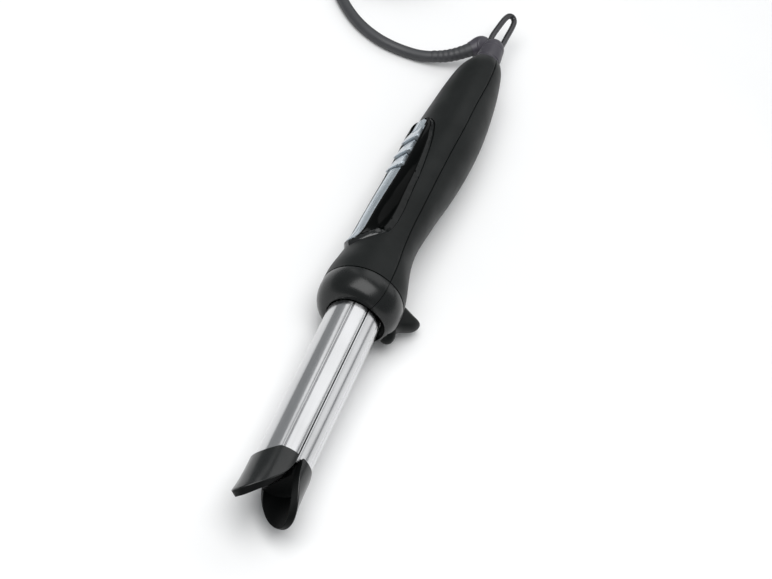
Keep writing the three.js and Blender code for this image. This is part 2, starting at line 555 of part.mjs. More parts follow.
function cord() {
  cordBoot();
  piece('cord_run', solid(tube(CORD_ROUTE, CORD_R, 16)).subtract(coilSolid(GAP)), charcoal, object);
  piece('cord_coil', coilSolid(0), charcoal, object);
  const [wide, high] = [[COIL.inner - 1.1, COIL.outer + 1.1], [0, COIL.top + 1.1]];
  const strap = solid(box(...wide, -4, 4, ...high))
    .subtract(solid(box(COIL.inner - GAP - 0.2, COIL.outer + GAP, -5, 5, COIL.base - GAP, COIL.top + GAP)))
    .rotate([0, 0, -60]).translate([COIL.x, COIL.y, 0]);
  piece('cord_tie', strap, satinBlack, object);
  const lead = solid(tube(PLUG_LEAD, CORD_R, 8)).subtract(coilSolid(GAP));
  piece('cord_plug_lead', lead, charcoal, object);
  const { x, y, z, length, thick, spacing } = PLUG;
  const body = outline([[0, -5], [10, -6.5], [17, -13], [24, -17], [length, -17.4], [length, 17.4], [24, 17],
    [17, 13], [10, 6.5], [0, 5]]);
  piece('plug_body', alongZ(body, -thick / 2, thick / 2).translate(x, y, z), satinBlack, object);
  [['plug_pin_left', 1], ['plug_pin_right', -1]].forEach(([name, s]) => {
    const prong = pin(2, x + length + GAP, x + length + PLUG.pins, y + (s * spacing) / 2, z, 16);
    piece(name, prong, pinBrass, object);
  });
}

// ---------- build ----------
halfBarrel('barrel_upper', 1, UPPER_BARREL_REAR);
halfBarrel('barrel_lower', -1, LOWER_BARREL_REAR);
tip('tip_upper', 1);
tip('tip_lower', -1);
collar();
handle();
controlPanel();
electronics();
heater('upper', 1);
heater('lower', -1);
sensors();
jawFrame();
jawLever();
trigger();
swivel();

iron.rotation.y = -ROLL;
object.add(iron);
object.updateMatrixWorld(true);
const bounds = new THREE.Box3().setFromObject(iron, true);
iron.position.set(-(bounds.min.x + bounds.max.x) / 2, -(bounds.min.y + bounds.max.y) / 2, -bounds.min.z);
cord();

export default object;
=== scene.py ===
import json
import math

import bmesh
import bpy
import numpy as np
from mathutils import Matrix, Vector


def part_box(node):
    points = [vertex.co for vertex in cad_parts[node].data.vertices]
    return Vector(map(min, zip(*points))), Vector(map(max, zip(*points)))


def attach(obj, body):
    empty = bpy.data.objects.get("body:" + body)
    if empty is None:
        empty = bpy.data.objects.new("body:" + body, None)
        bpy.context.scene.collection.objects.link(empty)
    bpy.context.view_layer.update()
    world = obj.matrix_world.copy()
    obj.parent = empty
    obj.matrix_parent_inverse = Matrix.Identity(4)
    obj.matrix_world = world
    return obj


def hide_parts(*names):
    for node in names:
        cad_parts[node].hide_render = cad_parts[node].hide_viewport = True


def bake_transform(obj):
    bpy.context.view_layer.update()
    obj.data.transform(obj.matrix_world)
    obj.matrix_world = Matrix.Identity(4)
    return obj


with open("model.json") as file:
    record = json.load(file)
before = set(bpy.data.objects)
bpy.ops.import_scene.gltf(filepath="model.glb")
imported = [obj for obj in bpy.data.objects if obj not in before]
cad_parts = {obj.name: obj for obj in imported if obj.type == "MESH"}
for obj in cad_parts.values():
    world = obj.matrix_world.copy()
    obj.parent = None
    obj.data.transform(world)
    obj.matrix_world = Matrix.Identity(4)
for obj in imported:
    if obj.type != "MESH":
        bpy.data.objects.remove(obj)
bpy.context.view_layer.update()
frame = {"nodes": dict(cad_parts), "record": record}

# A curling iron that lies on its side. Sizes are in millimetres. Most pieces are drawn in the
# iron's own frame: X to its left, Y from the tips to the cord, Z to the side with the buttons,
# Y = 0 at the mouth of the collar. IRON carries that frame into the model's, in metres.

MM = 0.001
GAP = 0.3
SHARP = 32
ROLL = math.radians(61)
HINGE = Vector((0, 8, -2.5))

BARREL_R = 12.5
JAW_GAP = 0.8
BARREL_GAP = 0.45         # the split that shows between the two half-barrels
LOWER_DROP = 1.3          # the photograph shows the lower half this much further down
GROOVE_ANGLE = 36
GROOVE_DEPTH = 0.7
BARREL_REAR = {"upper": 14, "lower": 2.5}

TIP_ROOT = -96
TIP_WALL = 3.4
TIP_FLOOR = -105
TIP_OUTER = [(-126.5, 15.6), (-122, 15), (-116, 14.3), (-108, 13.9), (-96, 13.8)]
# Where the outer edge of each scoop's rim runs: (angle from the near side, y)
TIP_RIM = {
    "upper": [(0, -98), (4, -103), (10, -107.5), (20, -112), (45, -119.5), (70, -124), (90, -124),
              (108, -122), (132, -115.5), (165, -104.5), (180, -98.5)],
    "lower": [(4, -97), (10, -103), (16, -106.5), (26, -110.5), (45, -116), (65, -120), (90, -121.5),
              (113, -120), (143, -115), (166, -107.5), (180, -99)],
}
TIP_LIP = 2.0             # the inner edge stands this much further out
TIP_SPLIT = {"upper": 1.7, "lower": 4.2}

COLLAR_R = 20.7
COLLAR_LENGTH = 14.5
COLLAR_NOSE = 11
MOUTH_R = 12.85
JAW_ROOM_R = 13.3         # the lower mouth is cut wider, so that the jaw can swing down in it
JAW_TRAVEL = 2.1

HANDLE_FRONT = 14.8
HANDLE_REAR = 197
HANDLE_TOP = [(14.8, 20.7), (22, 20.4), (30, 19.2), (38, 18.1), (46, 17.5), (60, 17.0), (75, 16.2),
              (90, 15.2), (106, 14.4), (121, 13.6), (139, 12.4), (156, 10.9), (174, 9.1), (187, 6.9),
              (197, 3.2)]
HANDLE_BOTTOM = [(14.8, -20.7), (20, -19.8), (25, -18.3), (31, -16.5), (38, -14.9), (46, -13.8),
                 (54, -13.6), (66, -14.7), (82, -16.6), (98, -18.9), (115, -20.5), (131, -21.1),
                 (146, -20.9), (161, -19.7), (176, -17.8), (187, -15.7), (197, -13.2)]
HANDLE_HALF = [(14.8, 20.7), (22, 20.4), (30, 19.4), (39, 17.7), (51, 16.4), (62, 16.2), (74, 16.6),
               (92, 17.1), (110, 17.9), (131, 18.8), (151, 17.5), (172, 15.1), (185, 12.9),
               (192, 11.2), (197, 8.8)]
HANDLE_SEAM = [(14.8, 0), (60, -0.3), (110, -0.5), (131, -1), (151, -1.9), (172, -3.8), (187, -4.6),
               (197, -5)]
TRIGGER_SLOT = 5.9
SCREW_Y = (142, 170)
SCREW_HOLE_R = 3.4

PANEL = [(0, 33.5), (5, 35.6), (9.5, 38.6), (12.4, 41.8), (13.8, 46), (14.1, 58), (14.1, 80),
         (13.8, 98), (13, 112), (11.7, 121), (9.4, 128.6), (5.2, 133.4), (0, 134.8)]
STRIP_SIDE = [(38, 4.3), (60, 4.4), (75, 4.9), (90, 5.4), (134, 5.4)]
STRIP_GROOVE = 1.55
STRIP_FRONT = 37.5
STRIP_REAR = 133.2
BUTTON_FRONT = 93.6
BUTTON_PITCH = 11.1
BUTTON_LENGTH = 10.2
BUTTONS_REAR = BUTTON_FRONT + 2 * BUTTON_PITCH + BUTTON_LENGTH
BUTTON_BAY = 6.9          # half width of the channel round the buttons
BUTTON_SLIT = 0.5
CHANNEL = 0.4             # the slit round the silver strip
CHANNEL_DEPTH = 1.6
FACET_WIDTH = 2.2         # the slope along the panel's front edge
FACET_SLOPE = 0.95
PANEL_WALL = 0.4

SWIVEL = {"z": -5, "neck": 5.6, "body": 6.7, "end": 5.8, "dome": 211, "rear": 217.5}
KNUCKLE = [(-1.5, 210.5, -4.3), (-7, 215.6, -1.2)]
KNUCKLE_R = 5.2
LOOP = [(0, 212, -1.6), (0, 219, -1.2), (0, 228, -2.2), (0, 236, -3.4), (0, 240.4, -5),
        (0, 241.5, -7.2), (0, 239.6, -9), (0, 234, -9.3), (0, 226, -8.9), (0, 218, -8.6),
        (0, 212, -8.2)]

# The cord, in the frame of the whole model
CORD_R = 3
BOOT_R = (3.7, 3.15)
BOOT_ROUTE = [(-10.9, 154.4, 12.7), (-14.4, 151.4, 11.1), (-18.7, 148.7, 8.9), (-23.7, 146.7, 6.6),
              (-29.2, 145.1, 4.8)]
CORD_ROUTE = [(-29.5, 145, 4.7), (-35.6, 143.6, 3.5), (-42, 142.9, 3), (-50, 142.6, 3), (-58, 143.6, 3),
              (-66, 146.2, 3), (-73.5, 150.3, 3), (-80.5, 155.9, 3), (-86.8, 162.6, 3), (-92.6, 170, 3),
              (-98.5, 177.6, 3), (-104.4, 185.2, 3), (-110.3, 192.8, 3.3)]
COIL = {"x": -83, "y": 226, "base": 3.9, "rise": 6, "inner": 24.7, "pitch": 6.4, "start": 217.7,
        "turns": 7.13}
PLUG_LEAD = [(-126, 236, 11.5), (-123.6, 243, 13.5), (-118.5, 250, 15.8), (-110.5, 255.6, 18),
             (-101, 258.4, 19.7), (-89.3, 259, 20.2)]
PLUG = {"x": -89, "y": 259, "z": 20.2, "length": 35, "pins": 19, "spacing": 18.6, "thick": 13.6}


def iron_frame():
    """From the iron's own frame, in millimetres, to the model's: the axle's middle gives the place."""
    low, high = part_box("hinge_axle")
    turn = Matrix.Rotation(-ROLL, 4, "Y")
    return Matrix.Translation((low + high) / 2 - turn @ (HINGE * MM)) @ turn @ Matrix.Scale(MM, 4)


IRON = iron_frame()
ROW = Matrix.Scale(MM, 4)


# ---------- camera ----------
CAMERA = {"lens": 130.3, "target": (0.0031, -0.0326, 0.0207), "distance": 1.328,
          "azimuth": 4.64, "elevation": 47.95, "roll": 19.41}


def camera():
    """A long lens that looks down at the iron from in front of its tips."""
    data = bpy.data.cameras.new("camera")
    data.lens = CAMERA["lens"]
    data.sensor_width = 36
    data.clip_end = 20
    target = Vector(CAMERA["target"])
    azimuth, elevation, roll = (math.radians(CAMERA[k]) for k in ("azimuth", "elevation", "roll"))
    back = Vector((math.sin(azimuth) * math.cos(elevation), -math.cos(azimuth) * math.cos(elevation),
                   math.sin(elevation)))
    camera_object = bpy.data.objects.new("camera", data)
    look = (-back).to_track_quat("-Z", "Y").to_matrix().to_4x4()
    camera_object.matrix_world = (Matrix.Translation(target + back * CAMERA["distance"]) @ look
                                  @ Matrix.Rotation(roll, 4, "Z"))
    bpy.context.scene.collection.objects.link(camera_object)
    bpy.context.scene.camera = camera_object


camera()


# ---------- shapes ----------
def along(points, y):
    """Smooth value at y of an outline given as (y, value) points."""
    last = len(points) - 1
    i = 0
    while i < last - 1 and y > points[i + 1][0]:
        i += 1

    def slope(k):
        a, b = max(0, k - 1), min(last, k + 1)
        return (points[b][1] - points[a][1]) / (points[b][0] - points[a][0])

    (y0, v0), (y1, v1) = points[i], points[i + 1]
    h = y1 - y0
    t = min(max((y - y0) / h, 0), 1)
    t2, t3 = t * t, t * t * t
    return ((2 * t3 - 3 * t2 + 1) * v0 + (t3 - 2 * t2 + t) * h * slope(i)
            + (3 * t2 - 2 * t3) * v1 + (t3 - t2) * h * slope(i + 1))


def smooth_step(t):
    t = min(max(t, 0), 1)
    return t * t * (3 - 2 * t)


def through(points, step):
    """Points about a step apart on a smooth curve through the given ones."""
    pts = [Vector(p) for p in points]
    pts = [2 * pts[0] - pts[1]] + pts + [2 * pts[-1] - pts[-2]]
    path = []
    for a, b, c, d in zip(pts, pts[1:], pts[2:], pts[3:]):
        count = max(1, round((c - b).length / step))
        for k in range(count):
            t = k / count
            path.append(0.5 * (2 * b + (c - a) * t + (2 * a - 5 * b + 4 * c - d) * t ** 2
                               + (3 * b - a - 3 * c + d) * t ** 3))
    return path + [pts[-2]]


class Shape:
    """Points and faces, gathered before they become a mesh."""

    def __init__(self):
        self.verts = []
        self.faces = []

    def face(self, points):
        start = len(self.verts)
        self.verts += [tuple(p) for p in points]
        self.faces.append(tuple(range(start, len(self.verts))))

    def grid(self, rows, closed=False):
        start, n = len(self.verts), len(rows[0])
        self.verts += [tuple(p) for row in rows for p in row]
        for r in range(len(rows) - 1):
            for k in range(n if closed else n - 1):
                a, b = start + r * n + k, start + r * n + (k + 1) % n
                self.faces.append((a, b, b + n, a + n))
        return self

    def loft(self, rings):
        self.grid(rings, closed=True)
        self.face(rings[0])
        self.face(rings[-1])
        return self


def circle(radius, sides):
    angles = (2 * math.pi * k / sides for k in range(sides))
    return [(radius * math.cos(a), radius * math.sin(a)) for a in angles]


def tube(path, radius, sides):
    """Closed round body along a path; radius is a number or a function of the share of the length."""
    size = radius if callable(radius) else (lambda share: radius)
    normal = (path[1] - path[0]).orthogonal().normalized()
    rings = []
    for i, point in enumerate(path):
        ahead = (path[min(i + 1, len(path) - 1)] - path[max(i - 1, 0)]).normalized()
        normal = (normal - ahead * normal.dot(ahead)).normalized()
        side = ahead.cross(normal)
        turn = circle(size(i / (len(path) - 1)), sides)
        rings.append([point + normal * u + side * v for u, v in turn])
    return Shape().loft(rings)


def turned(profile, height, sides=64):
    """Body of revolution about a line along Y at a height; the profile is a list of (radius, y)."""
    return Shape().loft([[(x, y, height + z) for x, z in circle(r, sides)] for r, y in profile])


def new_object(name, shape, place, sharp=SHARP):
    """A smooth-shaded object; edges that bend by more than sharp degrees stay crisp."""
    mesh = bpy.data.meshes.new(name)
    bm = bmesh.new()
    verts = [bm.verts.new(place @ Vector(p)) for p in shape.verts]
    for face in shape.faces:
        bm.faces.new([verts[i] for i in face])
    bmesh.ops.remove_doubles(bm, verts=bm.verts, dist=2e-6)
    bmesh.ops.dissolve_degenerate(bm, edges=bm.edges, dist=1e-6)
    bmesh.ops.recalc_face_normals(bm, faces=bm.faces)
    for face in bm.faces:
        face.smooth = True
    bm.to_mesh(mesh)
    bm.free()
    mesh.set_sharp_from_angle(angle=math.radians(sharp))
    made = bpy.data.objects.new(name, mesh)
    bpy.context.scene.collection.objects.link(made)
    return made


def bake(made):
    """Makes the modifiers' result the piece's own mesh."""
    bpy.context.view_layer.update()
    evaluated = made.evaluated_get(bpy.context.evaluated_depsgraph_get())
    mesh = bpy.data.meshes.new_from_object(evaluated)
    made.modifiers.clear()
    made.data = mesh


def cut(made, shape):
    """Takes a closed shape out of a piece."""
    tool = new_object("tool", shape, IRON)
    modifier = made.modifiers.new("cut", "BOOLEAN")
    modifier.operation = "DIFFERENCE"
    modifier.solver = "EXACT"
    modifier.object = tool
    bake(made)
    bpy.data.objects.remove(tool)
    made.data.set_sharp_from_angle(angle=math.radians(SHARP))


def block(x0, x1, y0, y1, z0, z1):
    return Shape().loft([[(x0, y, z0), (x1, y, z0), (x1, y, z1), (x0, y, z1)] for y in (y0, y1)])


def place_piece(made, finish, body, slot, *nodes):
    """Gives a piece its finish and the body it rides on, and hides the CAD nodes it stands for; slot is not
    used.
    """
    made.data.materials.clear()
    made.data.materials.append(finish)
    if nodes:
        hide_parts(*nodes)
    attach(made, body)
    return made


# ---------- materials ----------
class Nodes:
    """A material's nodes, with a noise in the object's own coordinates."""

    def __init__(self, name):
        self.material = bpy.data.materials.new(name)
        self.material.use_nodes = True
        self.tree = self.material.node_tree
        self.shader = self.tree.nodes["Principled BSDF"]
        self.where = self.tree.nodes.new("ShaderNodeTexCoord").outputs["Object"]

    def link(self, a, b):
        self.tree.links.new(a, b)

    def stretched(self, scale):
        """Coordinates turned to the iron's own frame, then scaled along each of its axes."""
        turned_back = self.tree.nodes.new("ShaderNodeMapping")
        turned_back.inputs["Rotation"].default_value = (0, ROLL, 0)
        self.link(self.where, turned_back.inputs["Vector"])
        node = self.tree.nodes.new("ShaderNodeMapping")
        node.inputs["Scale"].default_value = scale
        self.link(turned_back.outputs["Vector"], node.inputs["Vector"])
        return node.outputs["Vector"]

    def noise(self, scale, detail=3, where=None):
        node = self.tree.nodes.new("ShaderNodeTexNoise")
        node.inputs["Scale"].default_value = scale
        node.inputs["Detail"].default_value = detail
        self.link(where or self.where, node.inputs["Vector"])
        return node.outputs["Fac"]

    def ramp(self, value, low, high, at=(0.35, 0.65)):
        node = self.tree.nodes.new("ShaderNodeMapRange")
        node.inputs["From Min"].default_value, node.inputs["From Max"].default_value = at
        node.inputs["To Min"].default_value, node.inputs["To Max"].default_value = low, high
        self.link(value, node.inputs["Value"])
        return node.outputs["Result"]

    def colours(self, value, low, high, at=(0.35, 0.65)):
        node = self.tree.nodes.new("ShaderNodeValToRGB")
        for stop, place, colour in zip(node.color_ramp.elements, at, (low, high)):
            stop.position = place
            stop.color = (*colour, 1)
        self.link(value, node.inputs["Fac"])
        self.link(node.outputs["Color"], self.shader.inputs["Base Color"])

    def rough(self, value, low, high, at=(0.35, 0.65)):
        self.link(self.ramp(value, low, high, at), self.shader.inputs["Roughness"])

    def bump(self, value, height, under=None):
        node = self.tree.nodes.new("ShaderNodeBump")
        node.inputs["Distance"].default_value = height * MM
        self.link(value, node.inputs["Height"])
        if under:
            self.link(under, node.inputs["Normal"])
        self.link(node.outputs["Normal"], self.shader.inputs["Normal"])
        return node.outputs["Normal"]

    def set(self, **values):
        for name, value in values.items():
            self.shader.inputs[name.replace("_", " ")].default_value = value
        return self


def plastic(name, dark, light, rough, grain=0.0, grain_size=900, patch=40, **extra):
    """Moulded plastic: faint patches of colour and gloss, and a fine moulded grain."""
    n = Nodes(name)
    cloud = n.noise(patch, 4)
    n.colours(cloud, dark, light)
    n.rough(n.noise(patch * 2.3, 5), rough[0], rough[1])
    if grain:
        soft = n.bump(n.noise(grain_size * 0.2, 2), grain * 0.8)
        n.bump(n.noise(grain_size, 2), grain, under=soft)
    n.set(**extra)
    return n.material


def metal(name, dark, light, rough):
    """Metal drawn or brushed along the iron's length."""
    n = Nodes(name)
    brushed = n.noise(1.0, 3, n.stretched((900, 12, 900)))
    n.colours(n.noise(30, 3), dark, light)
    n.rough(brushed, rough[0], rough[1])
    n.bump(brushed, 0.004)
    n.set(Metallic=1.0)
    return n.material


BARREL_METAL = metal("anodised_barrel", (0.585, 0.585, 0.59), (0.64, 0.64, 0.65), (0.13, 0.20))
STEEL = metal("plain_steel", (0.50, 0.51, 0.53), (0.60, 0.61, 0.63), (0.28, 0.42))
PIN_METAL = metal("nickel_plated_pins", (0.70, 0.66, 0.56), (0.78, 0.74, 0.64), (0.15, 0.25))
TIP_BLACK = plastic("satin_tip", (0.003, 0.004, 0.0038), (0.005, 0.006, 0.006), (0.20, 0.27), 0.003,
                    Specular_IOR_Level=0.5)
# Darker, duller copy of the tip plastic for the scoops' insides, rims and the tip floors: painted shade in
# the hollows
HOLLOW_SHADE_BLACK = plastic("tip_inside_painted_shade", (0.0015, 0.002, 0.0019), (0.0025, 0.003, 0.003), (0.5, 0.6), 0.006,
                       Specular_IOR_Level=0.12)
COLLAR_BLACK = plastic("satin_collar", (0.0035, 0.0045, 0.0043), (0.006, 0.007, 0.007), (0.22, 0.30), 0.003,
                       Specular_IOR_Level=0.4)
HANDLE_BLACK = plastic("soft_touch_handle", (0.003, 0.0042, 0.004), (0.0055, 0.007, 0.0067), (0.42, 0.50),
                       0.012, 1400, Specular_IOR_Level=0.2)
# Lighter, rougher copy of the gloss panel for its sloping walls: painted sheen where the walls catch the
# light
PANEL_SIDE_SHEEN = plastic("panel_side_painted_sheen", (0.004, 0.005, 0.0048), (0.006, 0.007, 0.007), (0.16, 0.22),
                     Specular_IOR_Level=0.16)
PANEL_BLACK = plastic("gloss_panel", (0.0006, 0.0009, 0.0008), (0.001, 0.0013, 0.0012), (0.05, 0.10),
                      Specular_IOR_Level=0.035)
# Much lighter, glossier copy of the gloss panel for the facet along its front edge: painted highlight
PANEL_FRONT_HIGHLIGHT = plastic("panel_front_painted_highlight", (0.006, 0.007, 0.007), (0.009, 0.010, 0.010), (0.10, 0.15),
                      Specular_IOR_Level=0.6)
TRIGGER_BLACK = plastic("trigger", (0.004, 0.005, 0.0048), (0.006, 0.007, 0.007), (0.38, 0.48), 0.006,
                        Specular_IOR_Level=0.15)
SILVER = plastic("silver_lacquer", (0.44, 0.49, 0.53), (0.52, 0.57, 0.61), (0.22, 0.30), 0.002, 2600,
                 Metallic=0.75)
SWIVEL_GREY = plastic("swivel", (0.038, 0.035, 0.045), (0.052, 0.048, 0.060), (0.36, 0.46), 0.004)
LOOP_BLACK = plastic("gloss_loop", (0.012, 0.012, 0.014), (0.020, 0.020, 0.023), (0.18, 0.26))
CORD_RUBBER = plastic("cord_sheath", (0.030, 0.031, 0.034), (0.045, 0.046, 0.050), (0.42, 0.55), 0.008, 1600)
PLUG_BLACK = plastic("plug", (0.014, 0.014, 0.015), (0.022, 0.022, 0.023), (0.40, 0.50), 0.012, 1200)
TIE_BLACK = plastic("tie", (0.010, 0.010, 0.010), (0.020, 0.020, 0.020), (0.55, 0.75), 0.03, 2200)
INNER = {
    "inner_black": plastic("switch_case", (0.015, 0.015, 0.015), (0.03, 0.03, 0.03), (0.4, 0.6), 0.01),
    "board_laminate": plastic("board", (0.012, 0.10, 0.045), (0.02, 0.14, 0.06), (0.25, 0.4), 0.02, 700),
    "capacitor_case": plastic("capacitor", (0.42, 0.28, 0.05), (0.5, 0.34, 0.07), (0.3, 0.4), 0.01),
    "led_lens": plastic("lens", (0.6, 0.08, 0.05), (0.75, 0.12, 0.07), (0.08, 0.15)),
    "wire_live": plastic("wire_brown", (0.16, 0.035, 0.02), (0.22, 0.05, 0.03), (0.35, 0.5), 0.01),
    "wire_neutral": plastic("wire_white", (0.6, 0.58, 0.52), (0.7, 0.68, 0.62), (0.35, 0.5), 0.01),
    "heater_ceramic": plastic("ceramic", (0.62, 0.60, 0.54), (0.74, 0.72, 0.66), (0.5, 0.7), 0.03),
    "spring_steel": STEEL,
    "frame_plastic": plastic("glass_filled", (0.035, 0.03, 0.022), (0.06, 0.05, 0.04), (0.5, 0.65), 0.03),
    "barrel_metal": BARREL_METAL,
    "swivel_plastic": SWIVEL_GREY,
}


def dress_inner_nodes():
    """Every CAD node gets a finish; the ones that a finer piece stands for stay hidden."""
    slots = {part["node"]: part["material_slot"] for part in frame["record"]["subparts"]}
    for name, node in frame["nodes"].items():
        node.data.materials.clear()
        node.data.materials.append(INNER.get(slots[name], TRIGGER_BLACK))


dress_inner_nodes()


# ---------- cord ----------
def jogged(turns, first, share):
    """Whole turns since first, with the step to the next one spread over a stretch of 0.15 turn."""
    passed = turns - first
    whole = math.floor(passed)
    return whole + smooth_step((passed - whole - share) / 0.15)


def coil_path():
    """Two layers of round turns: the lower winds inwards, the upper outwards."""
    path = []
    steps = 48
    rows = 4
    for k in range(round(COIL["turns"] * steps) + 1):
        n = k / steps
        inward = min(jogged(n, 0, 0.85), rows - 1)
        outward = max(0, jogged(n, rows, 0.5))
        radius = COIL["inner"] + COIL["pitch"] * (rows - 1 - inward if n < rows else outward)
        z = COIL["base"] + COIL["rise"] * smooth_step((n - (rows - 1) - 0.68) / 0.17)
        angle = math.radians(COIL["start"] - 360 * n)
        path.append((COIL["x"] + radius * math.cos(angle), COIL["y"] + radius * math.sin(angle), z))
    return path


def cord():
    """The whole cord as one body, with the strap, the plug and its pins on it."""
    start = [tuple(Vector(BOOT_ROUTE[-1]).lerp(Vector(BOOT_ROUTE[-2]), 0.6))]
    path = through(start + CORD_ROUTE + coil_path()[::4] + PLUG_LEAD, 2.0)
    made = new_object("cord", tube(path, CORD_R - 0.05, 14), ROW)
    made.data.materials.append(CORD_RUBBER)
    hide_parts("cord_run", "cord_coil", "cord_plug_lead")
    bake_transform(made)
    tie()
    plug()
    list(plug_pins())


def tie():
    """A strap round the bundle of turns, with a rounded section and its end lapped over."""
    low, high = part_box("cord_tie")
    middle = (low + high) / 2 / MM
    outward = Vector((middle.x - COIL["x"], middle.y - COIL["y"], 0)).normalized()
    across = outward.cross(Vector((0, 0, 1)))
    hub = Vector((COIL["x"], COIL["y"], 0)) + outward * 34.3
    half, top, bottom = 13.2, 13.45, 0.55
    corner = 3.6
    loop = []
    for cx, cz, start in ((half - corner, top - corner, 0), (corner - half, top - corner, 90),
                          (corner - half, bottom + corner, 180), (half - corner, bottom + corner, 270)):
        for k in range(9):
            a = math.radians(start + 90 * k / 8)
            loop.append((cx + corner * math.cos(a), cz + corner * math.sin(a)))
    section = [(-4, -0.35), (-3.8, -0.5), (3.8, -0.5), (4, -0.35), (4, 0.35), (3.8, 0.5), (-3.8, 0.5),
               (-4, 0.35)]
    rows = []
    for i, (u, v) in enumerate(loop):
        (u0, v0), (u1, v1) = loop[i - 1], loop[(i + 1) % len(loop)]
        out = Vector((v1 - v0, u0 - u1)).normalized()
        rows.append([hub + outward * (u + out.x * t) + Vector((0, 0, v + out.y * t)) + across * w
                     for w, t in section])
    made = new_object("cord_strap", Shape().grid(rows + rows[:1], closed=True), ROW)
    return place_piece(made, TIE_BLACK, "body", "tie_plastic", "cord_tie")


def plug():
    """The moulded plug: soft-cornered sections along its length, ribbed where the fingers hold it."""
    x, y, z, length = PLUG["x"], PLUG["y"], PLUG["z"], PLUG["length"]
    half = [(0, 4.4), (4, 4.7), (9, 5.8), (13, 8.6), (17, 12.6), (21, 15.6), (26, 17), (31, 17.3),
            (length, 17.1)]
    rings = []
    for k in range(45):
        s = length * k / 44
        w = along(half, s)
        h = PLUG["thick"] / 2 - 0.1 - 1.9 * (1 - smooth_step((s - 2) / 14))
        if s > length - 1.2:
            shrink = 1.2 - math.sqrt(max(0, 1.2 ** 2 - (s - length + 1.2) ** 2))
            w, h = w - shrink, h - shrink
        if s < 1.5:
            shrink = 1.5 - math.sqrt(max(0, 1.5 ** 2 - (1.5 - s) ** 2))
            w, h = w - shrink, h - shrink
        rib = 0.35 if 3 < s < 13 and int((s - 3) / 1.25) % 2 else 0
        ring = []
        for i in range(48):
            a = 2 * math.pi * (i + 0.5) / 48
            cs, sn = math.cos(a), math.sin(a)
            ring.append((x + s, y + (w - rib) * math.copysign(abs(cs) ** 0.42, cs),
                         z + (h - rib) * math.copysign(abs(sn) ** 0.42, sn)))
        rings.append(ring)
    made = new_object("plug_shell", Shape().loft(rings), ROW, 45)
    return place_piece(made, PLUG_BLACK, "body", "plug_plastic", "plug_body")


def plug_pins():
    """Pins with a rounded end and a sleeve of plastic on the half next to the plug."""
    front = PLUG["x"] + PLUG["length"]
    made = []
    for name, s in (("plug_pin_left", 1), ("plug_pin_right", -1)):
        middle = Vector((0, PLUG["y"] + s * PLUG["spacing"] / 2, PLUG["z"]))

        def ring(x, r, middle=middle):
            return [(x, middle.y + u, middle.z + v) for u, v in circle(r, 32)]

        sleeve = [ring(front - 1, 1.9), ring(front + 9.8, 1.9), ring(front + 10, 1.7), ring(front + 10, 1.5)]
        cover = new_object(name + "_sleeve", Shape().loft(sleeve), ROW)
        place_piece(cover, PLUG_BLACK, "body", "plug_plastic")
        shoulder = front + PLUG["pins"] - 1.6
        prong = [ring(front + 9.9, 1.98), ring(front + 10 + 0.01, 1.98), ring(shoulder, 1.98)]
        prong += [ring(shoulder + 1.6 * math.sin(a), 0.38 + 1.6 * math.cos(a))
                  for a in (math.pi / 2 * k / 6 for k in range(1, 7))]
        pin = new_object(name + "_metal", Shape().loft(prong), ROW)
        made += [place_piece(pin, PIN_METAL, "body", "pin_brass", name), cover]
    return made


cord()


# ---------- barrel ----------
def barrel_outline(side):
    """Outline in X, Z of a half-barrel: a long arc with two grooves, and a flat face with soft edges.

    The lower half's arc lies LOWER_DROP lower, and straight sides join it to the flat face.
    """
    flat = BARREL_GAP / 2
    drop = LOWER_DROP if side < 0 else 0
    edge = 0.5
    angles = set(np.round(np.arange(4, 176.1, 2), 3))
    for g in (GROOVE_ANGLE, 180 - GROOVE_ANGLE):
        angles = {a for a in angles if abs(a - g) > 4.5} | set(np.round(np.arange(g - 4, g + 4.1, 0.4), 3))
    points = []
    for a in sorted(angles):
        depth = sum(GROOVE_DEPTH * math.exp(-((a - g) / 1.25) ** 2)
                    for g in (GROOVE_ANGLE, 180 - GROOVE_ANGLE))
        r = BARREL_R - depth
        points.append((r * math.cos(math.radians(a)), side * (r * math.sin(math.radians(a)) + drop)))
    wide = BARREL_R - 0.03
    corner = [(wide - edge + edge * math.cos(t), side * (flat + edge - edge * math.sin(t)))
              for t in (math.pi / 2 * k / 6 for k in range(7))]
    return corner[::-1] + points + [(-x, z) for x, z in corner]


def barrel():
    for name, side in (("upper", 1), ("lower", -1)):
        outline = barrel_outline(side)
        rear = BARREL_REAR[name]
        rings = [[(x, (tip_root_edge(abs(z)) - 0.5) * (1 - t) + rear * t, z) for x, z in outline]
                 for t in np.linspace(0, 1, 12)]
        made = new_object(f"barrel_half_{name}", Shape().loft(rings), IRON, 50)
        place_piece(made, BARREL_METAL, "body" if side > 0 else "lower_jaw", "barrel_metal", f"barrel_{name}")


# ---------- tips ----------
def tip_root_edge(height):
    """Where the root edge of a tip runs, at that height over the split: it leans forward at the top."""
    return TIP_ROOT - max(0, height - 9.1)


def rounded(corner, toward_a, toward_b, radius, steps=4):
    """Points of a soft corner between two directions."""
    a = corner + (toward_a - corner).normalized() * radius
    b = corner + (toward_b - corner).normalized() * radius
    return [a * (1 - t) ** 2 + corner * (2 * t * (1 - t)) + b * t * t
            for t in (k / steps for k in range(steps + 1))]


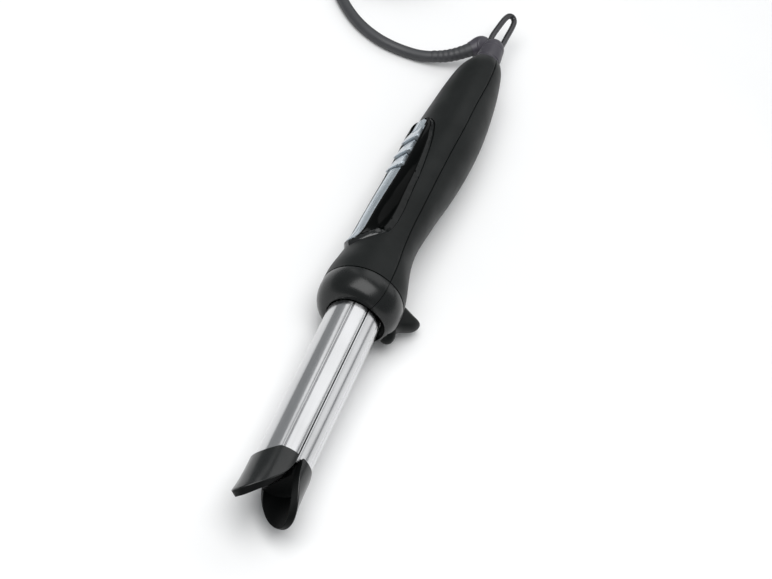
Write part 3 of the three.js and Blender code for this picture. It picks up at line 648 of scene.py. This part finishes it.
def tips():
    """The scoops: an outer and an inner wall from the root to a rounded, slanting rim."""
    columns, rows = 96, 40
    for name, side in (("upper", 1), ("lower", -1)):
        split = TIP_SPLIT[name]
        drop = LOWER_DROP if side < 0 else 0
        outer, inner = [], []
        for c in range(columns + 1):
            a = split + (180 - 2 * split) * c / columns
            sine, cosine = math.sin(math.radians(a)), math.cos(math.radians(a))
            back = tip_root_edge(13.8 * sine)
            walls = []
            for wall, lip in ((0, 0), (TIP_WALL, TIP_LIP)):
                front = along(TIP_RIM[name], a) - lip
                line = []
                for r in range(rows + 1):
                    y = back + (front - back) * (1 - (1 - r / rows) ** 1.15)
                    size = along(TIP_OUTER, y) - wall
                    line.append(Vector((size * cosine, y, side * size * sine - drop)))
                walls.append(line)
            out_line, in_line = walls
            soft_out = rounded(out_line[-1], out_line[-4], in_line[-1], 0.45)
            soft_in = rounded(in_line[-1], in_line[-4], out_line[-1], 0.45)
            outer.append(out_line[:-3] + soft_out)
            inner.append(in_line[:-3] + soft_in)
        rim = [outer[c][-1:] + inner[c][-1:] for c in range(columns + 1)]
        shape = Shape().grid(outer)
        shape.grid([[line[0] for line in outer], [line[0] for line in inner]])
        count = len(shape.faces)
        shape.grid(inner).grid(rim)
        shape.grid([outer[0], inner[0]]).grid([outer[-1], inner[-1]])
        made = new_object(f"tip_scoop_{name}", shape, IRON, 50)
        body = "body" if side > 0 else "lower_jaw"
        place_piece(made, TIP_BLACK, body, "tip_plastic", f"tip_{name}")
        # The inner walls, the rim and the split ends take the darker copy: painted shade inside the scoop
        made.data.materials.append(HOLLOW_SHADE_BLACK)
        for face in made.data.polygons[count:]:
            face.material_index = 1
        tip_floor(name, side, body)


def tip_floor(name, side, body):
    """The wall that closes the barrel at the back of the scoop, slightly dished."""
    rings = []
    for size, sink in ((1.0, 0.0), (0.93, 0.5), (0.8, 0.9), (0.5, 1.2), (0.1, 1.3)):
        ring = []
        for k in range(33):
            a = math.pi * k / 32
            r = 10.6 * size
            height = JAW_GAP / 2 + (r - 0.4) * math.sin(a)
            ring.append((r * math.cos(a), TIP_FLOOR + sink, side * height - (LOWER_DROP if side < 0 else 0)))
        rings.append(ring)
    rear = [(x, TIP_FLOOR + 6, z) for x, _, z in rings[0]]
    shape = Shape().loft([rear] + rings)
    made = new_object(f"tip_floor_{name}", shape, IRON, 40)
    # The floor takes the darker copy of the tip plastic: painted shade at the back of the hollow
    place_piece(made, HOLLOW_SHADE_BLACK, body, "tip_plastic")


# ---------- collar ----------
def collar_profile():
    """(radius, y) round the collar's wall: the mouth, the rounded nose, the outside, the inside."""
    nose = [(MOUTH_R + (COLLAR_R - MOUTH_R) * math.sin(a), COLLAR_NOSE * (1 - math.cos(a)))
            for a in (math.pi / 2 * k / 28 for k in range(29))]
    nose[0] = (MOUTH_R + 0.35, 0.0)
    lip = [(MOUTH_R, 1.4), (MOUTH_R, 0.45), (MOUTH_R + 0.1, 0.15)]
    rear = [(COLLAR_R, COLLAR_LENGTH - 0.5), (COLLAR_R - 0.15, COLLAR_LENGTH - 0.15),
            (COLLAR_R - 0.5, COLLAR_LENGTH)]
    inside = [(COLLAR_R - 2.1, COLLAR_LENGTH), (COLLAR_R - 2.1, 9), (COLLAR_R - 2.9, 5.6),
              (COLLAR_R - 4.7, 3.2)]
    return lip + nose + rear + inside


def collar():
    profile = collar_profile()
    for name, side in (("upper", 1), ("lower", -1)):
        columns = 90
        rows = []
        for c in range(columns + 1):
            row = []
            for r, y in profile:
                start = math.asin(GAP / 2 / r)
                a = start + (math.pi - 2 * start) * c / columns
                row.append((r * math.cos(a), y, side * r * math.sin(a)))
            rows.append(row)
        made = new_object(f"collar_half_{name}", Shape().loft(rows), IRON, 40)
        if side < 0:
            for drop in (JAW_TRAVEL, JAW_TRAVEL + LOWER_DROP):
                cut(made, turned([(JAW_ROOM_R, -1), (JAW_ROOM_R, 5.6)], -drop, 96))
            cut(made, block(-TRIGGER_SLOT, TRIGGER_SLOT, 2.9, 30, -30, -10))
        place_piece(made, COLLAR_BLACK, "body", "collar_plastic", f"collar_{name}")


# ---------- handle ----------
def section(y):
    """Seam height, half width, and rise over and drop under the seam of the handle at y."""
    seam = along(HANDLE_SEAM, y)
    return seam, along(HANDLE_HALF, y), along(HANDLE_TOP, y) - seam, seam - along(HANDLE_BOTTOM, y)


def over(x, y):
    """Height of the handle's upper surface at x and y."""
    seam, half, rise, _ = section(y)
    return seam + rise * math.sqrt(max(0, 1 - (x / half) ** 2))


PANEL_EDGE = through([(x, y, 0) for x, y in PANEL], 0.5)
PANEL_OUTLINE = np.array([(p.x, p.y) for p in PANEL_EDGE])
REAR_ROWS = [192, 194, 195.5, 196.5, HANDLE_REAR]


def panel_half(y):
    return float(np.interp(y, [p.y for p in PANEL_EDGE], [p.x for p in PANEL_EDGE], 0, 0))


def to_edge(x, y, edge):
    """Distance from a point to an outline that is the same left and right."""
    return float(np.hypot(edge[:, 0] - abs(x), edge[:, 1] - y).min())


def end_rows(y0, y1, fine=0.25, coarse=2.0):
    """Stations from y0 to y1 that lie close together near both ends."""
    rows, step, y = [], fine, y0
    while y < (y0 + y1) / 2:
        rows.append(y)
        y += step
        step = min(coarse, step * 1.3)
    return rows + [y0 + y1 - y for y in rows[::-1]]


def upper_shell():
    """The shell with the pocket that the panel lies in; its open edge is slightly rounded."""
    gap = 0.6
    side_gap = 0.38
    first, last = PANEL[0][1] - gap, PANEL[-1][1] + gap
    stations = list(np.linspace(HANDLE_FRONT, first - 0.02, 14)) + end_rows(first, last)
    stations += list(np.linspace(last + 0.02, 190, 34)) + REAR_ROWS

    def groove(y):
        if not first < y < last:
            return 0
        inside = min(max(y, PANEL[0][1] + 0.1), PANEL[-1][1] - 0.1)
        spread = side_gap * math.sqrt(max(0, 1 - ((inside - y) / gap) ** 2))
        return panel_half(inside) + spread

    edge_round, pocket = 0.2, 2.6
    rows = []
    for y in stations:
        seam, half, rise, _ = section(y)
        w = groove(y)
        lift = GAP / 2
        low = [(half - 0.35, y, seam + lift), (half - 0.08, y, seam + lift + 0.12)]
        stop = math.acos(min(1, (w + edge_round) / half)) if w else math.pi / 2
        arc = [(half * math.cos(a), y, seam + lift + (rise - lift) * math.sin(a))
               for a in (0.025 + (stop - 0.025) * k / 40 for k in range(41))]
        if w:
            top = arc[-1][2]
            wall = [(w + edge_round * (1 - math.sin(t)), y, top - edge_round * (1 - math.cos(t)))
                    for t in (math.pi / 2 * k / 4 for k in range(1, 5))]
            wall += [(w, y, top - pocket), (0, y, top - pocket)]
        else:
            wall = [arc[-1]] * 6
        row = low + arc + wall
        rows.append(row + [(-x, y, z) for x, y, z in row[::-1]])
    made = new_object("handle_shell_upper", Shape().loft(rows), IRON, 38)
    place_piece(made, HANDLE_BLACK, "body", "handle_soft_touch", "handle_upper")


def lower_shell():
    stations = list(np.linspace(HANDLE_FRONT, 190, 84)) + REAR_ROWS
    rows = []
    for y in stations:
        seam, half, _, drop = section(y)
        lift = GAP / 2
        low = [(half - 0.35, y, seam - lift), (half - 0.08, y, seam - lift - 0.12)]
        arc = [(half * math.cos(a), y, seam - lift - (drop - lift) * math.sin(a))
               for a in (0.025 + (math.pi - 0.05) * k / 80 for k in range(81))]
        rows.append(low + arc + [(-x, y, z) for x, y, z in low[::-1]])
    made = new_object("handle_shell_lower", Shape().loft(rows), IRON, 38)
    cut(made, block(-TRIGGER_SLOT, TRIGGER_SLOT, 5, 33, -40, -8))
    cut(made, block(-12, 12, 13, 42, -13, 6))           # room inside for the jaw's lever
    for y in SCREW_Y:
        bottom = along(HANDLE_BOTTOM, y)
        hole = [[(u, y + v, z) for u, v in circle(SCREW_HOLE_R, 32)] for z in (bottom - 3, bottom + 5)]
        cut(made, Shape().loft(hole))
    place_piece(made, HANDLE_BLACK, "body", "handle_soft_touch", "handle_lower")


# ---------- control panel ----------
def pad(width, stations, top, sink, edge, rounding, columns=24, wall=0.0, marks=None):
    """A body over an outline that is the same left and right, with a sloping wall and a rounded edge.

    width(y) is the half width, top(x, y) the upper surface, sink how far the sides go into the
    handle, and wall how wide the slope is; marks(y) gives X values that get a line of points.
    """
    outline = np.array([(p[0], p[1]) for p in edge])
    rows = []
    for y in stations:
        w = max(width(y), 0.001)
        xs = [w * math.sin(math.pi / 2 * k / columns) for k in range(columns + 1)]
        xs = sorted(xs + [min(m, w * 0.9) for m in (marks(y) if marks else ())])
        row = []
        for x in xs[::-1]:
            inward = to_edge(x, y, outline)
            d = min(1, max(0, inward - wall) / rounding)
            z = top(x, y) - rounding * (1 - math.sqrt(max(0, 1 - (1 - d) ** 2)))
            if inward < wall:
                foot = over(x, y)
                z = foot + (z - foot) * inward / wall
            row.append((x, y, z))
        bottom = over(w, y) - sink
        ring = [(w, y, bottom)] + row + [(-x, y, z) for x, _, z in row[::-1][1:]]
        rows.append(ring + [(-w, y, bottom)])
    return Shape().loft(rows)


def face_height(x, y):
    """The panel's face: flatter than the handle, and clear of it by more along its sides."""
    middle = over(0, y) + 0.75 + 0.6 * smooth_step((46 - y) / 9)
    half = max(panel_half(y), 6)
    side = over(half, y) + 2.0
    return middle - (middle - side) * (x / half) ** 2


def strip_half(y, grow=0.0):
    """Half width of the silver strip, whose ends are cut off at the corners."""
    ahead = min(y - STRIP_FRONT + grow, STRIP_REAR + grow - y)
    if ahead < 0:
        return 0
    return min(along(STRIP_SIDE, y) + grow, 2.6 + grow + ahead * 1.25)


def bezel():
    """The gloss frame: a ridge runs round the channel that the strip and the buttons lie in."""
    front = PANEL_OUTLINE[PANEL_OUTLINE[:, 1] < 44]

    def opening(y):
        if BUTTON_FRONT - BUTTON_SLIT < y < BUTTONS_REAR + CHANNEL:
            return BUTTON_BAY
        return strip_half(y, CHANNEL)

    def top(x, y):
        inside = opening(y)
        if inside > 0 and abs(x) < inside - 0.01:
            return face_height(x, y) - CHANNEL_DEPTH
        ridge = 0.25 * math.exp(-((abs(x) - inside - 0.6) / 0.5) ** 2) if inside > 0 else 0
        facet = FACET_SLOPE * max(0, FACET_WIDTH - to_edge(x, y, front)) if y < 46 else 0
        return face_height(x, y) + ridge - facet

    def marks(y):
        inside = opening(y)
        return [max(0, inside + s) for s in (-0.02, 0.02, 0.2, 0.4, 0.6, 0.8, 1.0, 1.3, 1.7)]

    y0, y1 = PANEL[0][1], PANEL[-1][1]
    stations = end_rows(y0 + 0.02, y1 - 0.02, 0.1, 1.4)
    steps = (STRIP_FRONT - CHANNEL, BUTTON_FRONT - BUTTON_SLIT, BUTTONS_REAR + CHANNEL, STRIP_REAR + CHANNEL)
    stations = sorted(set(stations + [y + s for y in steps for s in (-0.02, 0.02)]))
    shape = pad(panel_half, stations, top, 2.4, PANEL_OUTLINE, 0.35, 44, PANEL_WALL, marks)
    made = new_object("panel_frame", shape, IRON, 32)
    place_piece(made, PANEL_BLACK, "body", "panel_gloss", "panel_bezel")
    made.data.materials.append(PANEL_SIDE_SHEEN)
    made.data.materials.append(PANEL_FRONT_HIGHLIGHT)
    back = IRON.inverted()
    for face in made.data.polygons:
        middle = back @ face.center
        inward = to_edge(middle.x, middle.y, PANEL_OUTLINE)
        # The front facet takes the lightest copy: painted highlight
        if middle.y < 45 and inward < FACET_WIDTH:
            face.material_index = 2
        # The sloping walls take the lighter copy: painted sheen
        elif inward < PANEL_WALL + 0.05:
            face.material_index = 1


def strip_height(x, y):
    """The strip's face: a low crown, a fine groove along it, and steeper sides beyond the groove."""
    groove = 0.3 * math.exp(-((abs(x) - STRIP_GROOVE) / 0.22) ** 2)
    return face_height(x, y) + 0.45 * (1 - (x / 5) ** 2) - groove - 0.16 * max(0, abs(x) - 1.7)


def strips():
    for name, y0, y1 in (("front", STRIP_FRONT, BUTTON_FRONT - BUTTON_SLIT),
                         ("rear", BUTTONS_REAR - 1.5, STRIP_REAR)):
        stations = end_rows(y0 + 0.01, y1 - 0.01, 0.12)
        edge = [(strip_half(y), y) for y in np.linspace(y0, y1, 240)]
        edge += [(x, y) for y in (y0, y1) for x in np.linspace(0, strip_half(y), 16)]
        shape = pad(strip_half, stations, strip_height, 0.6, edge, 0.4, 20, 0.0,
                    lambda y: [STRIP_GROOVE + s for s in (-0.4, -0.2, 0, 0.2, 0.4)])
        made = new_object(f"strip_{name}", shape, IRON, 32)
        place_piece(made, SILVER, "body", "panel_silver", f"panel_strip_{name}")


def buttons():
    """Three caps like shingles: each is widest and highest close to its front edge."""
    for i, name in enumerate(("button_power", "button_heat_up", "button_heat_down")):
        front = BUTTON_FRONT + i * BUTTON_PITCH
        rear = front + BUTTON_LENGTH

        def width(y, front=front, rear=rear):
            t, shoulder = y - front, 2.4
            if t < shoulder:
                return 4.2 + 2.4 * math.sin(math.pi / 2 * max(0, t) / shoulder)
            return 6.6 - 2.1 * (t - shoulder) / (rear - front - shoulder)

        def top(x, y, front=front, rear=rear):
            rise = 1.35 * (1 - (y - front) / (rear - front)) - 0.1
            return face_height(x * 0.85, y) + rise

        stations = end_rows(front + 0.15, rear, 0.1, 0.8)
        edge = [(width(y), y) for y in np.linspace(front, rear, 80)]
        edge += [(x, y) for y in (front, rear) for x in np.linspace(0, width(y), 24)]
        shape = pad(width, stations, top, 0.6, edge, 0.4, 20)
        made = new_object(name + "_cap", shape, IRON, 32)
        place_piece(made, SILVER, name, "panel_silver", name)


# ---------- trigger ----------
TRIGGER_HALF = 4.2
TRIGGER_ROOT = (17, -14)
TRIGGER_NOSE = [(6.4, -12.8), (3.4, -16.4), (3.2, -20.6)]
TRIGGER_CURVES = (((3.4, -23.2), (6.2, -23.8)), ((7.6, -24), (8.9, -23.5)), ((11.9, -22.9), (15.2, -25.8)),
                  ((17.8, -28.6), (20.2, -31.1)), ((22.6, -33.2), (25.2, -33.3)),
                  ((27.2, -33.5), (27.3, -31.4)), ((27.5, -27), (28, -22.6)))
TRIGGER_BACK = [(27.6, -12.6), (25, -12.6), (25, -15)]


def curve_to(points, control, end, steps=8):
    """Adds a soft curve from the last point, towards control, to end."""
    start = Vector((*points[-1], 0))
    middle, stop = Vector((*control, 0)), Vector((*end, 0))
    for k in range(1, steps + 1):
        t = k / steps
        p = start * (1 - t) ** 2 + middle * (2 * t * (1 - t)) + stop * t * t
        points.append((p.x, p.y))


def trigger():
    """The lever's blade: its outline, in Y and Z, draws in towards its root on both faces."""
    outline = list(TRIGGER_NOSE)
    for control, end in TRIGGER_CURVES:
        curve_to(outline, control, end)
    outline += TRIGGER_BACK
    root = Vector(TRIGGER_ROOT)
    rings = []
    for k in range(25):
        a = math.pi * (k / 24 - 0.5)
        share = 1 - 0.38 * (1 - math.cos(a))
        ring = [root + (Vector(p) - root) * share for p in outline]
        rings.append([(TRIGGER_HALF * math.sin(a), y, z) for y, z in ring])
    made = new_object("trigger_lever", Shape().loft(rings), IRON, 40)
    place_piece(made, TRIGGER_BLACK, "lower_jaw", "trigger_plastic", "trigger")


# ---------- swivel, knuckle, loop and strain relief ----------
def swivel():
    """The turning stub behind the handle, with two fine rings and a domed end."""
    neck, body, end, dome, rear = (SWIVEL[k] for k in ("neck", "body", "end", "dome", "rear"))
    start = HANDLE_REAR + 0.5
    waist = body - 0.3
    profile = [(neck, 188), (neck, start - 0.1), (body - 0.4, start), (body, start + 0.4)]
    for y in np.linspace(start + 0.8, dome, 40):
        ring = 0.28 * math.exp(-((y - 200.8) / 0.35) ** 2) + 0.2 * math.exp(-((y - 209.6) / 0.3) ** 2)
        r = body - 0.3 * (y - start) / 7.5 if y < 205 else waist - (waist - end) * (y - 205) / 6
        profile.append((r - ring, y))
    profile += [(end * math.cos(a), dome + (rear - dome) * math.sin(a))
                for a in (math.pi / 2 * k / 14 for k in range(1, 14))]
    profile.append((0.3, rear))
    made = new_object("swivel_body", turned(profile, SWIVEL["z"]), IRON, 40)
    place_piece(made, SWIVEL_GREY, "cord_swivel", "swivel_plastic", "swivel_stub")


def knuckle():
    """The elbow from the swivel to the strain relief."""
    foot, middle = (IRON @ Vector(p) for p in KNUCKLE)
    out = (Vector(BOOT_ROUTE[0]) * MM).lerp(Vector(BOOT_ROUTE[1]) * MM, 0.35)
    path = [p / MM for p in through([foot, middle, out], 0.0004)]
    share = (middle - foot).length / ((middle - foot).length + (out - middle).length)

    def size(t):
        bulge = math.exp(-((t - share * 0.98) / 0.27) ** 2)
        root = 3.5 if t < share else 3.95
        return root + (KNUCKLE_R - root) * bulge

    made = new_object("cord_elbow", tube(path, size, 40), ROW, 45)
    place_piece(made, SWIVEL_GREY, "cord_swivel", "swivel_plastic", "cord_knuckle")


def loop():
    made = new_object("hanging_ring", tube(through(LOOP, 0.6), 1.5, 20), IRON, 45)
    place_piece(made, LOOP_BLACK, "cord_swivel", "swivel_plastic", "hanging_loop")


def boot():
    """A tapered sleeve with shallow ribs, and a step down to the cord at its end."""
    path = through(BOOT_ROUTE, 0.25)

    def size(t):
        r = BOOT_R[0] + (BOOT_R[1] - BOOT_R[0]) * t
        rib = 0.18 * (0.5 + 0.5 * math.cos(2 * math.pi * 8 * t)) if 0.2 < t < 0.95 else 0
        return r - rib - 0.25 * smooth_step((t - 0.985) / 0.015)

    made = new_object("strain_relief", tube(path, size, 28), ROW, 50)
    place_piece(made, CORD_RUBBER, "cord_swivel", "cord_rubber", "cord_boot")


barrel()
tips()
collar()
upper_shell()
lower_shell()
bezel()
strips()
buttons()
trigger()
swivel()
knuckle()
loop()
boot()


# ---------- floor and light ----------
# name, place, size and watts; all but the key are there to be mirrored in the barrel
LAMPS = (("key", (-0.12, -0.35, 1.5), (1.5, 1.5), 24), ("back", (0.25, 1.35, 1.3), (1.5, 1.2), 6),
         ("edge", (-1.03, 1.35, 1.08), (0.25, 1.0), 0.75), ("right", (1.3, 1.35, 0.7), (0.8, 0.9), 1.7))


def studio():
    floor = Shape().grid([[(x, y, 0) for x in (-3000, 3000)] for y in (-3000, 3000)])
    ground = new_object("floor", floor, ROW)
    n = Nodes("pale_floor")
    n.colours(n.noise(6, 3), (0.86, 0.86, 0.86), (0.90, 0.90, 0.90))
    n.rough(n.noise(20, 2), 0.65, 0.75)
    ground.data.materials.append(n.material)
    bpy.context.scene.view_settings.view_transform = "Standard"
    world = bpy.data.worlds.new("studio")
    world.use_nodes = True
    world.node_tree.nodes["Background"].inputs["Color"].default_value = (0.9, 0.93, 0.95, 1)
    world.node_tree.nodes["Background"].inputs["Strength"].default_value = 0.35
    bpy.context.scene.world = world
    for name, place, (wide, high), power in LAMPS:
        data = bpy.data.lights.new(name, "AREA")
        data.shape = "RECTANGLE"
        data.size, data.size_y, data.energy = wide, high, power
        lamp = bpy.data.objects.new(name, data)
        lamp.location = place
        lamp.rotation_euler = (Vector((0, 0, 0.02)) - lamp.location).to_track_quat("-Z", "Y").to_euler()
        bpy.context.scene.collection.objects.link(lamp)


studio()
